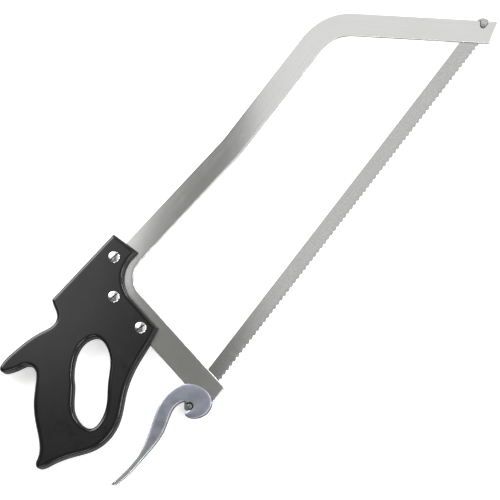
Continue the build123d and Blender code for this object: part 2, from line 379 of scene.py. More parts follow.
def remap(tree, value, low, high, toLow=0.0, toHigh=1.0):
    node = addNode(tree, "MapRange", {"Value": value, "From Min": low, "From Max": high,
                                      "To Min": toLow, "To Max": toHigh}, interpolation_type="SMOOTHSTEP")
    return node.outputs["Result"]


def blendColor(tree, factor, first, second, how="MIX"):
    first, second = [(*c, 1) if isinstance(c, tuple) else c for c in (first, second)]
    node = addNode(tree, "Mix", {0: factor, 6: first, 7: second}, data_type="RGBA", blend_type=how)
    return node.outputs[2]


def tinted(tree, color, mask, strength, tint):
    return blendColor(tree, sums(tree, "MULTIPLY", mask, strength), color, tint)


def added(tree, value, mask, strength):
    return sums(tree, "ADD", value, sums(tree, "MULTIPLY", mask, strength))


def blendValue(tree, factor, first, second):
    return addNode(tree, "Mix", {0: factor, 2: first, 3: second}, data_type="FLOAT").outputs[0]


def stretched(tree, where, scale):
    return addNode(tree, "VectorMath", {0: where, 1: scale}, operation="MULTIPLY").outputs[0]


def noise(tree, where, scale, detail=3.0, roughness=0.55):
    return addNode(tree, "TexNoise", {"Vector": where, "Scale": scale, "Detail": detail,
                                      "Roughness": roughness}).outputs["Fac"]


def newGroup(name, takes, gives):
    tree = bpy.data.node_groups.new(name, "ShaderNodeTree")
    for label, kind, value in takes:
        socket = tree.interface.new_socket(label, in_out="INPUT", socket_type="NodeSocket" + kind)
        if value is not None:
            socket.default_value = value
    for label in gives:
        tree.interface.new_socket(label, in_out="OUTPUT", socket_type="NodeSocketFloat")
    return tree, tree.nodes.new("NodeGroupInput").outputs, tree.nodes.new("NodeGroupOutput").inputs


def placeGroup(tree, name, values):
    node = addNode(tree, "Group")
    node.node_tree = bpy.data.node_groups[name]
    for label, value in values.items():
        if isinstance(value, bpy.types.NodeSocket):
            tree.links.new(value, node.inputs[label])
        else:
            node.inputs[label].default_value = value
    return node.outputs


def makeBrushedGrain():
    # fine lines along the first axis of Where, of two widths
    tree, given, result = newGroup("brushedGrain", [
        ("Where", "Vector", None), ("Across", "Float", 2500.0), ("Along", "Float", 25.0)], ["Streaks"])
    scale = addNode(tree, "CombineXYZ", {"X": given["Along"], "Y": given["Across"], "Z": 0.0}).outputs[0]
    lines = stretched(tree, given["Where"], scale)
    fine = noise(tree, lines, 1.0, 4.0, 0.7)
    broad = noise(tree, stretched(tree, lines, (0.35, 0.16, 1)), 1.0, 2.0)
    both = sums(tree, "ADD", sums(tree, "MULTIPLY", fine, 0.6), sums(tree, "MULTIPLY", broad, 0.4))
    tree.links.new(remap(tree, both, 0.3, 0.7), result["Streaks"])


def makeHandlingMarks():
    # soft patches where hands and cloths have been, and the lighter film round them
    tree, given, result = newGroup("handlingMarks", [
        ("Where", "Vector", None), ("Size", "Float", 0.03), ("Cover", "Float", 0.5)], ["Smudge", "Film"])
    scale = sums(tree, "DIVIDE", 1.0, given["Size"])
    wander = noise(tree, given["Where"], scale, 1.5)
    patch = addNode(tree, "TexNoise", {"Vector": given["Where"], "Scale": scale, "Detail": 5.0,
                                       "Roughness": 0.6, "Distortion": 0.8}).outputs["Fac"]
    low = addNode(tree, "MapRange", {"Value": given["Cover"], "To Min": 0.72, "To Max": 0.3}).outputs[0]
    smudge = remap(tree, patch, low, sums(tree, "ADD", low, 0.22))
    tree.links.new(smudge, result["Smudge"])
    tree.links.new(remap(tree, wander, 0.3, 0.72), result["Film"])


def makeEdgeWear():
    # rubbed edges: the mesh's rounded edges, broken up so that the rubbing comes and goes
    tree, given, result = newGroup("edgeWear", [
        ("Where", "Vector", None), ("Break Up", "Float", 300.0), ("Amount", "Float", 0.5)], ["Wear"])
    edge = addNode(tree, "Attribute", attribute_name="edgeMask").outputs["Fac"]
    ragged = noise(tree, given["Where"], given["Break Up"], 4.0, 0.65)
    low = addNode(tree, "MapRange", {"Value": given["Amount"], "To Min": 0.75, "To Max": 0.2}).outputs[0]
    tree.links.new(sums(tree, "MULTIPLY", edge, remap(tree, ragged, low, sums(tree, "ADD", low, 0.25))),
                   result["Wear"])


def makeFineScratches():
    # hair scratches in two directions, gathered into patches
    tree, given, result = newGroup("fineScratches", [
        ("Where", "Vector", None), ("Size", "Float", 0.02), ("Rarity", "Float", 0.5)], ["Scratch"])
    scale = sums(tree, "DIVIDE", 1.0, given["Size"])
    lines = []
    for turn, stretch in ((0.5, (0.6, 14, 14)), (-0.9, (0.5, 11, 11))):
        laid = addNode(tree, "VectorRotate", {"Vector": given["Where"], "Angle": turn},
                       rotation_type="Z_AXIS").outputs[0]
        wave = sums(tree, "SUBTRACT", noise(tree, stretched(tree, laid, stretch), scale, 1.5), 0.5)
        ridge = addNode(tree, "Math", {0: wave}, operation="ABSOLUTE").outputs[0]
        lines.append(remap(tree, ridge, 0.0, 0.008, 1.0, 0.0))
    both = sums(tree, "MAXIMUM", lines[0], lines[1])
    gathered = noise(tree, given["Where"], scale, 2.0)
    patch = remap(tree, gathered, given["Rarity"], sums(tree, "ADD", given["Rarity"], 0.12))
    tree.links.new(sums(tree, "MULTIPLY", both, patch), result["Scratch"])


def makeMouldedSkin():
    # the small unevenness of a cast or moulded surface, at two sizes, and its blotches of colour
    tree, given, result = newGroup("mouldedSkin", [
        ("Where", "Vector", None), ("Grain", "Float", 0.0008), ("Swell", "Float", 0.02)],
        ["Height", "Blotch", "Pits"])
    fineScale = sums(tree, "DIVIDE", 1.0, given["Grain"])
    broadScale = sums(tree, "DIVIDE", 1.0, given["Swell"])
    fine = noise(tree, given["Where"], fineScale, 3.0, 0.6)
    broad = noise(tree, given["Where"], broadScale, 2.0)
    pitScale = sums(tree, "MULTIPLY", fineScale, 0.22)
    cells = addNode(tree, "TexVoronoi", {"Vector": given["Where"], "Scale": pitScale})
    pits = remap(tree, cells.outputs["Distance"], 0.02, 0.12, 1.0, 0.0)
    height = sums(tree, "ADD", sums(tree, "MULTIPLY", fine, 0.45), sums(tree, "MULTIPLY", broad, 0.55))
    tree.links.new(sums(tree, "SUBTRACT", height, sums(tree, "MULTIPLY", pits, 0.25)), result["Height"])
    tree.links.new(remap(tree, broad, 0.32, 0.68), result["Blotch"])
    tree.links.new(pits, result["Pits"])


def makeSettledDust():
    # specks and a thin film on whatever faces up
    tree, given, result = newGroup("settledDust", [
        ("Where", "Vector", None), ("Speck", "Float", 0.0012), ("Amount", "Float", 0.5)], ["Dust"])
    normal = addNode(tree, "NewGeometry").outputs["Normal"]
    up = remap(tree, addNode(tree, "SeparateXYZ", {0: normal}).outputs["Z"], 0.3, 1.0)
    specks = addNode(tree, "TexVoronoi", {"Vector": given["Where"],
                                          "Scale": sums(tree, "DIVIDE", 1.0, given["Speck"])}).outputs
    dot = remap(tree, specks["Distance"], 0.06, 0.13, 1.0, 0.0)
    some = addNode(tree, "SeparateXYZ", {0: specks["Color"]}).outputs["X"]
    few = addNode(tree, "MapRange", {"Value": given["Amount"], "To Min": 1.0, "To Max": 0.6}).outputs[0]
    chosen = remap(tree, some, few, sums(tree, "ADD", few, 0.02))
    film = sums(tree, "MULTIPLY", remap(tree, noise(tree, given["Where"], 90.0, 4.0), 0.45, 0.75), 0.25)
    both = sums(tree, "ADD", sums(tree, "MULTIPLY", dot, chosen), film, clamp=True)
    tree.links.new(sums(tree, "MULTIPLY", both, up), result["Dust"])


makeBrushedGrain()
makeHandlingMarks()
makeEdgeWear()
makeFineScratches()
makeMouldedSkin()
makeSettledDust()
print("finish groups made")


def newMaterial(name, **fixed):
    # fixed values go straight on the shader's own sockets, with _ for a space
    material = bpy.data.materials.new(name)
    material.use_nodes = True
    tree = material.node_tree
    shader = tree.nodes["Principled BSDF"].inputs
    for label, value in fixed.items():
        shader[label.replace("_", " ").title().replace("Ior", "IOR")].default_value = value
    where = addNode(tree, "TexCoord").outputs["Object"]
    return tree, shader, where


def bumped(tree, shader, height, strength, distance):
    bump = addNode(tree, "Bump", {"Height": height, "Strength": strength, "Distance": distance * mm})
    tree.links.new(bump.outputs["Normal"], shader["Normal"])


frameFinish = {
    "light": (0.65, 0.65, 0.65),
    "dull": (0.61, 0.61, 0.605),
    "film": (0.585, 0.585, 0.56),
    "rubbed": (0.76, 0.76, 0.77),
    "roughness": (0.165, 0.215),
}


def makeFrameSteel():
    # satin bar, ground lengthways and round its bends
    tree, shader, where = newMaterial("frameSteel", metallic=1.0)
    along = addNode(tree, "UVMap", uv_map="grainMap").outputs["UV"]
    streaks = placeGroup(tree, "brushedGrain", {"Where": along, "Across": 2600.0, "Along": 22.0})["Streaks"]
    marks = placeGroup(tree, "handlingMarks", {"Where": where, "Size": 0.045, "Cover": 0.42})
    wear = placeGroup(tree, "edgeWear", {"Where": where, "Break Up": 260.0, "Amount": 0.75})["Wear"]
    scratch = placeGroup(tree, "fineScratches", {"Where": where, "Size": 0.022, "Rarity": 0.54})["Scratch"]
    dust = placeGroup(tree, "settledDust", {"Where": where, "Speck": 0.0016, "Amount": 0.35})["Dust"]
    color = blendColor(tree, streaks, frameFinish["dull"], frameFinish["light"])
    color = tinted(tree, color, marks["Film"], 0.35, frameFinish["film"])
    color = tinted(tree, color, scratch, 0.3, frameFinish["rubbed"])
    color = tinted(tree, color, dust, 0.12, (0.5, 0.48, 0.45))
    color = tinted(tree, color, wear, 0.8, frameFinish["rubbed"])
    tree.links.new(color, shader["Base Color"])
    low, high = frameFinish["roughness"]
    rough = remap(tree, streaks, 0.0, 1.0, high, low)
    rough = added(tree, rough, marks["Smudge"], 0.05)
    rough = added(tree, rough, scratch, 0.08)
    tree.links.new(rough, shader["Roughness"])
    bumped(tree, shader, sums(tree, "SUBTRACT", streaks, scratch), 0.1, 0.02)


bladeFinish = {
    "light": (0.45, 0.45, 0.45),
    "dull": (0.425, 0.425, 0.42),
    "hardened": (0.3, 0.3, 0.31),  # band behind the teeth
    "filed": (0.55, 0.55, 0.55),
    "roughness": (0.19, 0.24),
    "hardenedBand": 3.2,
}


def makeBladeSteel():
    # rolled strip: grain along the blade, a hardened band at the teeth, bright filed tooth flanks
    tree, shader, where = newMaterial("bladeSteel", metallic=1.0)
    streaks = placeGroup(tree, "brushedGrain", {"Where": where, "Across": 3200.0, "Along": 14.0})["Streaks"]
    marks = placeGroup(tree, "handlingMarks", {"Where": where, "Size": 0.03, "Cover": 0.4})
    scratch = placeGroup(tree, "fineScratches", {"Where": where, "Size": 0.015, "Rarity": 0.52})["Scratch"]
    wear = placeGroup(tree, "edgeWear", {"Where": where, "Break Up": 500.0, "Amount": 0.6})["Wear"]
    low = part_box("blade")[0].y
    height = addNode(tree, "SeparateXYZ", {0: where}).outputs["Y"]
    ragged = remap(tree, noise(tree, where, 180.0, 3.0), 0.2, 0.8, -0.8 * mm, 0.8 * mm)
    band = remap(tree, sums(tree, "ADD", height, ragged), low + bladeFinish["hardenedBand"] * mm,
                 low + (bladeFinish["hardenedBand"] + 1.6) * mm, 1.0, 0.0)
    color = blendColor(tree, streaks, bladeFinish["dull"], bladeFinish["light"])
    color = tinted(tree, color, marks["Film"], 0.3, (0.4, 0.4, 0.38))
    color = tinted(tree, color, band, 0.35, bladeFinish["hardened"])
    color = tinted(tree, color, scratch, 0.2, bladeFinish["filed"])
    color = tinted(tree, color, wear, 0.5, bladeFinish["filed"])
    tree.links.new(color, shader["Base Color"])
    low, high = bladeFinish["roughness"]
    rough = remap(tree, streaks, 0.0, 1.0, high, low)
    rough = added(tree, rough, marks["Smudge"], 0.05)
    rough = added(tree, rough, band, 0.06)
    tree.links.new(rough, shader["Roughness"])
    bumped(tree, shader, sums(tree, "SUBTRACT", streaks, scratch), 0.05, 0.01)


leverFinish = {
    "zinc": (0.294, 0.306, 0.370),
    "zincPale": (0.322, 0.337, 0.388),
    "greenish": (0.299, 0.330, 0.353),
    "handWorn": (0.637, 0.646, 0.616),
    "rubbed": (0.5, 0.51, 0.55),
    "wornFrom": -52.0,  # the tail is rubbed bright from here to its tip
    "wornTo": -100.0,
}


def makeLeverCasting():
    # blue-grey zinc plate over a casting, rubbed bright at its edges and where the hand takes the tail
    tree, shader, where = newMaterial("leverCasting", metallic=0.95)
    skin = placeGroup(tree, "mouldedSkin", {"Where": where, "Grain": 0.0009, "Swell": 0.012})
    marks = placeGroup(tree, "handlingMarks", {"Where": where, "Size": 0.018, "Cover": 0.5})
    wear = placeGroup(tree, "edgeWear", {"Where": where, "Break Up": 420.0, "Amount": 0.6})["Wear"]
    scratch = placeGroup(tree, "fineScratches", {"Where": where, "Size": 0.012, "Rarity": 0.5})["Scratch"]
    dust = placeGroup(tree, "settledDust", {"Where": where, "Speck": 0.0014, "Amount": 0.4})["Dust"]
    worn = addNode(tree, "Attribute", attribute_name="handWorn").outputs["Fac"]
    worn = sums(tree, "MULTIPLY", worn, remap(tree, marks["Film"], 0.0, 1.0, 0.75, 1.0))
    color = blendColor(tree, skin["Blotch"], leverFinish["zinc"], leverFinish["zincPale"])
    color = tinted(tree, color, marks["Smudge"], 0.25, leverFinish["greenish"])
    color = tinted(tree, color, skin["Pits"], 0.3, (0.2, 0.205, 0.24))
    color = blendColor(tree, worn, color, leverFinish["handWorn"])
    color = tinted(tree, color, scratch, 0.3, leverFinish["rubbed"])
    color = tinted(tree, color, wear, 0.85, leverFinish["rubbed"])
    color = tinted(tree, color, dust, 0.15, (0.4, 0.38, 0.36))
    tree.links.new(color, shader["Base Color"])
    rough = remap(tree, skin["Blotch"], 0.0, 1.0, 0.35, 0.39)
    rough = added(tree, rough, worn, -0.12)
    tree.links.new(rough, shader["Roughness"])
    bumped(tree, shader, skin["Height"], 0.2, 0.05)


plasticFinish = {
    "black": (0.0018, 0.0018, 0.002),
    "greyed": (0.0034, 0.0034, 0.0035),
    "scuffed": (0.02, 0.02, 0.021),
    "dust": (0.1, 0.095, 0.09),
    "roughness": (0.26, 0.32),
    "edgeRoughness": 0.15,
}


def makeHandlePlastic():
    # glossy black moulding with a faint pebble, greyed by washing and scuffed on its edges
    tree, shader, where = newMaterial("handlePlastic", ior=1.5)
    skin = placeGroup(tree, "mouldedSkin", {"Where": where, "Grain": 0.0011, "Swell": 0.03})
    marks = placeGroup(tree, "handlingMarks", {"Where": where, "Size": 0.028, "Cover": 0.5})
    wear = placeGroup(tree, "edgeWear", {"Where": where, "Break Up": 380.0, "Amount": 0.3})["Wear"]
    scratch = placeGroup(tree, "fineScratches", {"Where": where, "Size": 0.02, "Rarity": 0.5})["Scratch"]
    dust = placeGroup(tree, "settledDust", {"Where": where, "Speck": 0.0015, "Amount": 0.4})["Dust"]
    color = blendColor(tree, marks["Film"], plasticFinish["black"], plasticFinish["greyed"])
    color = tinted(tree, color, wear, 0.4, plasticFinish["scuffed"])
    color = tinted(tree, color, scratch, 0.15, plasticFinish["scuffed"])
    color = tinted(tree, color, dust, 0.05, plasticFinish["dust"])
    tree.links.new(color, shader["Base Color"])
    low, high = plasticFinish["roughness"]
    rough = remap(tree, marks["Smudge"], 0.0, 1.0, high, low)
    edge = addNode(tree, "Attribute", attribute_name="edgeMask").outputs["Fac"]
    rough = blendValue(tree, edge, rough, plasticFinish["edgeRoughness"])
    rough = added(tree, rough, dust, 0.05)
    tree.links.new(rough, shader["Roughness"])
    bumped(tree, shader, skin["Height"], 0.12, 0.05)


def turnedRings(tree, where, rings):
    # fine tool rings round a turned piece, from each point's distance to its own axis
    radius = addNode(tree, "Attribute", attribute_name="turnRadius").outputs["Fac"]
    line = addNode(tree, "CombineXYZ", {"X": radius}).outputs[0]
    fine = noise(tree, line, rings, 3.0, 0.7)
    wander = noise(tree, where, 250.0, 2.0)
    return remap(tree, sums(tree, "ADD", fine, sums(tree, "MULTIPLY", wander, 0.2)), 0.4, 0.8)


def makeScrewChrome():
    # bright plating over turned brass, dulled by handling
    tree, shader, where = newMaterial("screwChrome", metallic=1.0)
    rings = turnedRings(tree, where, 4.0)
    scratch = placeGroup(tree, "fineScratches", {"Where": where, "Size": 0.005, "Rarity": 0.45})["Scratch"]
    marks = placeGroup(tree, "handlingMarks", {"Where": where, "Size": 0.005, "Cover": 0.45})
    color = blendColor(tree, rings, (0.6, 0.6, 0.605), (0.68, 0.68, 0.69))
    color = tinted(tree, color, marks["Smudge"], 0.25, (0.5, 0.49, 0.47))
    tree.links.new(color, shader["Base Color"])
    rough = remap(tree, rings, 0.0, 1.0, 0.16, 0.09)
    rough = added(tree, rough, marks["Smudge"], 0.08)
    tree.links.new(rough, shader["Roughness"])
    bumped(tree, shader, sums(tree, "SUBTRACT", rings, scratch), 0.12, 0.02)


def makePinSteel():
    # plain turned steel, browned with old oil
    tree, shader, where = newMaterial("pinSteel", metallic=1.0)
    rings = turnedRings(tree, where, 5.0)
    skin = placeGroup(tree, "mouldedSkin", {"Where": where, "Grain": 0.0004, "Swell": 0.003})
    scratch = placeGroup(tree, "fineScratches", {"Where": where, "Size": 0.004, "Rarity": 0.45})["Scratch"]
    color = blendColor(tree, rings, (0.2, 0.2, 0.205), (0.3, 0.3, 0.305))
    color = tinted(tree, color, skin["Blotch"], 0.5, (0.14, 0.13, 0.12))
    color = tinted(tree, color, scratch, 0.4, (0.5, 0.5, 0.5))
    tree.links.new(color, shader["Base Color"])
    tree.links.new(remap(tree, skin["Blotch"], 0.0, 1.0, 0.3, 0.46), shader["Roughness"])
    bumped(tree, shader, sums(tree, "ADD", rings, skin["Height"]), 0.2, 0.03)


def makeEdgePaintedShade():
    # painted shade for the cut sides of bar and blade and the inside of the bar's notch, grey-black
    tree, shader, where = newMaterial("shearedEdge", metallic=0.0, specular_ior_level=0.12)
    skin = placeGroup(tree, "mouldedSkin", {"Where": where, "Grain": 0.0005, "Swell": 0.005})
    scratch = placeGroup(tree, "fineScratches", {"Where": where, "Size": 0.008, "Rarity": 0.45})["Scratch"]
    color = blendColor(tree, skin["Blotch"], (0.018, 0.0178, 0.017), (0.034, 0.0335, 0.032))
    color = tinted(tree, color, scratch, 0.4, (0.12, 0.12, 0.12))
    tree.links.new(color, shader["Base Color"])
    tree.links.new(remap(tree, skin["Blotch"], 0.0, 1.0, 0.45, 0.7), shader["Roughness"])
    bumped(tree, shader, skin["Height"], 0.3, 0.06)


def makeLeverFlankShade():
    # painted shade on the lever's sides: dark blue-grey, with casting pits and dust
    tree, shader, where = newMaterial("castFlank", metallic=0.0, specular_ior_level=0.2)
    skin = placeGroup(tree, "mouldedSkin", {"Where": where, "Grain": 0.0009, "Swell": 0.008})
    dust = placeGroup(tree, "settledDust", {"Where": where, "Speck": 0.0012, "Amount": 0.4})["Dust"]
    color = blendColor(tree, skin["Blotch"], (0.03, 0.032, 0.042), (0.052, 0.055, 0.07))
    color = tinted(tree, color, skin["Pits"], 0.5, (0.02, 0.02, 0.023))
    color = tinted(tree, color, dust, 0.2, (0.2, 0.19, 0.18))
    tree.links.new(color, shader["Base Color"])
    tree.links.new(remap(tree, skin["Blotch"], 0.0, 1.0, 0.4, 0.6), shader["Roughness"])
    bumped(tree, shader, skin["Height"], 0.4, 0.12)


def makeHandleFlankShade():
    # the handle's sides: the moulding's black, made matt and low in shine so that they read as shaded, a
    # painted shade
    tree, shader, where = newMaterial("mouldedFlank", specular_ior_level=0.12)
    skin = placeGroup(tree, "mouldedSkin", {"Where": where, "Grain": 0.0009, "Swell": 0.02})
    marks = placeGroup(tree, "handlingMarks", {"Where": where, "Size": 0.02, "Cover": 0.4})
    color = blendColor(tree, marks["Film"], (0.0035, 0.0035, 0.0037), (0.007, 0.007, 0.007))
    tree.links.new(color, shader["Base Color"])
    tree.links.new(remap(tree, marks["Smudge"], 0.0, 1.0, 0.6, 0.4), shader["Roughness"])
    bumped(tree, shader, skin["Height"], 0.3, 0.08)


def makeRecessGrimeAndShade():
    # the lever's dish and the screws' slots, dark with oxide and grease and with painted shade in these
    # recesses
    tree, shader, where = newMaterial("oxidisedSeat", metallic=0.4)
    skin = placeGroup(tree, "mouldedSkin", {"Where": where, "Grain": 0.0005, "Swell": 0.002})
    dust = placeGroup(tree, "settledDust", {"Where": where, "Speck": 0.0006, "Amount": 0.6})["Dust"]
    color = blendColor(tree, skin["Blotch"], (0.014, 0.013, 0.012), (0.035, 0.032, 0.028))
    color = tinted(tree, color, dust, 0.3, (0.1, 0.095, 0.09))
    tree.links.new(color, shader["Base Color"])
    tree.links.new(remap(tree, skin["Blotch"], 0.0, 1.0, 0.35, 0.7), shader["Roughness"])
    bumped(tree, shader, skin["Height"], 0.5, 0.1)


def makePaleFloor():
    # plain card with a barely seen tooth
    tree, shader, where = newMaterial("paleFloor", emission_color=(1, 1, 1, 1), emission_strength=0.5)
    grain = noise(tree, where, 900.0, 3.0)
    tone = noise(tree, where, 1.2, 2.0)
    color = blendColor(tree, tone, (0.86, 0.86, 0.86), (0.88, 0.88, 0.88))
    tree.links.new(color, shader["Base Color"])
    tree.links.new(remap(tree, grain, 0.2, 0.8, 0.86, 0.94), shader["Roughness"])
    bumped(tree, shader, grain, 0.1, 0.1)


makeFrameSteel()
makeBladeSteel()
makeLeverCasting()
makeHandlePlastic()
makeScrewChrome()
makePinSteel()
makeEdgePaintedShade()
makeLeverFlankShade()
makeHandleFlankShade()
makeRecessGrimeAndShade()
makePaleFloor()
print("materials made")


# The bent bar

bar = {
    "halfThickness": 2.4,
    "bevelWidth": 1.5,
    "bevelDrop": 0.65,
    "bevelSteps": 5,
    "outlineHeight": 1.2,  # level at which the bar's outline is read
    "step": 1.8,
    "holeStep": 0.8,
    "grainRows": (3.0, 6.0, 9.0, 12.0),  # extra rings across the flat face
    "sawCut": 0.6,  # half width of the blade's slot
    "sawCutTop": 11.7,
    "notchReach": 7.5,  # the notch's edges get painted shade this far from the front pin
    # the middle line's corners, each with the radius of its bend
    "corners": (((26, -18.8), 0), ((59.5, 167.6), 44), ((269.5, 147.4), 160), ((452.9, 147.4), 56.2),
                ((562.6, -19), 0)),
}


def barMiddle():
    # the bar's middle line from foot to nose: its corners with the bends rounded in
    corners = bar["corners"]
    line = [Vector(corners[0][0])]
    for (before, _), (corner, radius), (after, _) in zip(corners, corners[1:], corners[2:]):
        corner = Vector(corner)
        inWay = (corner - Vector(before)).normalized()
        outWay = (Vector(after) - corner).normalized()
        bend = inWay.angle(outWay)
        start = corner - inWay * radius * math.tan(bend / 2)
        side = 1 if inWay.cross(outWay) > 0 else -1
        centre = start + Vector((-inWay.y, inWay.x)) * radius * side
        arm = start - centre
        for i in range(13):
            angle = bend * side * i / 12
            line.append(centre + Vector((arm.x * math.cos(angle) - arm.y * math.sin(angle),
                                         arm.x * math.sin(angle) + arm.y * math.cos(angle))))
    return line + [Vector(corners[-1][0])]


def layGrain(piece):
    # a map of metres along and across the bar, for the grain to follow its bends
    line = np.array(barMiddle())
    start, step = line[:-1], np.diff(line, axis=0)
    length = np.linalg.norm(step, axis=1)
    run = np.cumsum(np.concatenate([[0], length[:-1]]))
    way = step / length[:, None]
    spots = np.array([((vert.co - rearPin) / mm).xy for vert in piece.data.vertices])
    gap = spots[:, None, :] - start
    along = (gap * way).sum(2)
    low, high = np.zeros(len(length)), length.copy()
    low[0], high[-1] = -1e3, length[-1] + 1e3
    held = np.clip(along, low, high)
    off = np.linalg.norm(gap - held[:, :, None] * way, axis=2)
    nearest = off.argmin(1)
    rows = np.arange(len(spots))
    across = (way[:, 0] * gap[:, :, 1] - way[:, 1] * gap[:, :, 0])[rows, nearest]
    flat = np.stack([run[nearest] + held[rows, nearest], across], axis=1) * mm
    corners = np.zeros(len(piece.data.loops), dtype=np.int32)
    piece.data.loops.foreach_get("vertex_index", corners)
    layer = piece.data.uv_layers.new(name="grainMap")
    layer.data.foreach_set("uv", flat[corners].astype(np.float32).ravel())


def makeBar():
    loops = sectionLoops("frame", bar["outlineHeight"])
    outline = [evenLoop(loops[0], bar["step"])]
    outline += [evenLoop(loop, bar["holeStep"]) for loop in loops[1:]]
    upper = roundedEdge(bar["bevelWidth"], bar["bevelDrop"], bar["halfThickness"],
                        bar["bevelSteps"])
    upper += [(inset, bar["halfThickness"]) for inset in bar["grainRows"]]
    profile = bothSides(upper)
    piece = slab("bentBar", outline, profile, "frameSteel",
                 rounded=[k for k, (inset, height) in enumerate(profile) if inset < bar["bevelWidth"] / 2])
    cut, top = bar["sawCut"], bar["sawCutTop"]
    rearCut = block("rearCut", (-20, -40, -cut), (75, top, cut), "frameSteel")
    noseCut = block("noseCut", (frontPin.x - 50, -40, -cut), (frontPin.x + 50, top, cut), "frameSteel")
    cutAway(piece, rearCut, noseCut)
    smoothShade(piece)
    layGrain(piece)
    # the bar's upright sides get painted shade
    paintShadeOnWalls(piece, "shearedEdge")
    # painted shade inside the notch round the front pin
    refinish(piece, "shearedEdge", lambda place, facing:
             abs(facing.z) < 0.98 and (place.xy - frontPin.xy).length < bar["notchReach"])
    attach(piece, "saw_frame")
    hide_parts("frame")


makeBar()
print("bar bent")


# The moulded handle, in two halves

handle = {
    "thickness": 12.0,  # each half
    "edgeRadius": 4.0,
    "edgeSteps": 8,
    "partingGap": 0.06,
    "partingBevel": 0.4,
    "outlineHeight": 6.0,
    "step": 1.7,
    "plateRoom": 0.1,
    "flatRows": (6.0, 9.0),
    "shortestLoop": 100,  # outlines shorter than this are screw holes
    # the screws' seats, from the parting face outwards
    "sleeveHole": 3.65,
    "headHole": 6.75,
    "headSeat": 9.6,
    "cutBeyond": 20,
}


def handleLoops():
    loops = sectionLoops("handle_front_scale", handle["outlineHeight"])
    return [evenLoop(loop, handle["step"]) for loop in loops if loopLength(loop) > handle["shortestLoop"]]


def makeHandle():
    loops = handleLoops()
    plate = evenLoop(sectionLoops("frame", bar["outlineHeight"])[0], bar["step"])
    for node, way in (("handle_front_scale", 1), ("handle_back_scale", -1)):
        top = handle["thickness"]
        profile = [(handle["partingBevel"], handle["partingGap"]),
                   (0, handle["partingGap"] + handle["partingBevel"])]
        rounded = range(len(profile), len(profile) + handle["edgeSteps"] + 1)
        profile += roundedEdge(handle["edgeRadius"], handle["edgeRadius"], top, handle["edgeSteps"])
        profile += [(inset, top) for inset in handle["flatRows"]]
        if way < 0:
            profile = [(inset, -height) for inset, height in profile[::-1]]
            rounded = [len(profile) - 1 - k for k in rounded]
        piece = slab("handleHalf" + ("Front" if way > 0 else "Back"), loops, profile,
                     "handlePlastic", rounded=rounded)
        room = -handle["plateRoom"]
        depth = bar["halfThickness"] + handle["plateRoom"]
        pocket = slab("pocket", [plate], [(room, -depth), (room, depth)], "handlePlastic", spacing=500)
        cutters = [pocket]
        for name in ("upper", "middle", "lower"):
            low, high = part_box(name + "_handle_screw")
            centre = ((low + high) / 2 - rearPin) / mm
            hole, wide = handle["sleeveHole"], handle["headHole"]
            step, beyond = handle["headSeat"], handle["cutBeyond"]
            seat = [(hole, -beyond), (hole, step), (wide, step), (wide, beyond)]
            if way < 0:
                seat = [(radius, -height) for radius, height in seat[::-1]]
            cutters.append(turned("seat", seat, centre, "handlePlastic", 64))
        cutAway(piece, *cutters)
        smoothShade(piece)
        # the handle's upright sides get the dull black that stands in for their shade
        paintShadeOnWalls(piece, "mouldedFlank")
        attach(piece, "saw_frame")
        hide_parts(node)


makeHandle()
print("handle moulded")


# The toothed blade

blade = {
    "halfThickness": 0.4,
    "edge": 0.1,
    "flatRow": 3.0,
    "step": 2.2,
    "holeStep": 0.6,
    "firstTip": 16.2,  # from the rear pin
    "pitch": 6.35,
    "tipHeight": -9.7,
    "tipReach": 0.7,  # part of each tooth that is set
    "teethSet": 0.3,  # teeth lean left and right in turn
}


def makeBlade():
    loops = [evenLoop(loop, blade["step"] if k == 0 else blade["holeStep"])
             for k, loop in enumerate(sectionLoops("blade", 0.0))]
    half, edge = blade["halfThickness"], blade["edge"]
    profile = bothSides([(0, half - edge), (edge, half), (blade["flatRow"], half)])
    piece = slab("toothedBlade", loops, profile, "bladeSteel", rounded=(0, 1, 4, 5))
    for vert in piece.data.vertices:
        place = (vert.co - rearPin) / mm
        if place.y < blade["tipHeight"] + blade["tipReach"]:
            tooth = round((place.x - blade["firstTip"]) / blade["pitch"])
            vert.co.z += (1 if tooth % 2 else -1) * blade["teethSet"] * mm
    smoothShade(piece)
    # the blade's upright sides, tooth flanks included, get painted shade
    paintShadeOnWalls(piece, "shearedEdge")
    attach(piece, "blade_set")
    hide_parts("blade")


makeBlade()


# The blade's two pins

pin = {
    "end": ((0, 1.1), (0.12, 0.75), (0.75, 0.12), (1.1, 0)),  # inset and drop round each end
    "centreMark": 0.3,
}


def makePin(name, node):
    low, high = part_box(node)
    centre = ((low + high) / 2 - rearPin) / mm
    radius = (high.x - low.x) / 2 / mm
    top = (high.z - low.z) / 2 / mm
    upper = [(radius - inset, top - drop) for inset, drop in pin["end"]]
    piece = turned(name, bothSides(upper + [(pin["centreMark"], top)]), centre, "pinSteel")
    smoothShade(piece)
    markTurning(piece, centre)
    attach(piece, "blade_set")
    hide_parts(node)


makePin("rearPin", "rear_blade_pin")
makePin("nosePin", "front_blade_pin")
print("blade and pins made")


# The hook lever

lever = {
    "halfDepth": 6.7,
    "outlineHeight": 3.2,
    "step": 1.1,
    "taperFrom": -30.0,
    "tipAt": -131.6,
    "tipHalfDepth": 4.0,
    "forkHalfWidth": 2.7,
    "forkReach": 38.0,
    "slotHalfWidth": 0.7,
    "slotRadius": 10.1,
    "legLean": 10.2,  # degrees
    "camStart": 13.25,  # from the pin to the leg, less the cam's clearance
    "camRise": 5.905,
    "swing": 100.0,  # degrees
    "dishRadius": 4.8,
    "dishDepth": 2.2,
    "dishLip": (0.5, 0.35),  # width and depth of the bevel round the dish
    # the cheeks' section: inset from the outline and drop below the face
    "crown": ((0, 1.4), (0.14, 1.0), (0.7, 0.5), (1.3, 0.3), (2.5, 0.12), (4.2, 0.03), (6.0, 0)),
}


def heading(angle):
    return Vector((math.cos(math.radians(angle)), math.sin(math.radians(angle))))


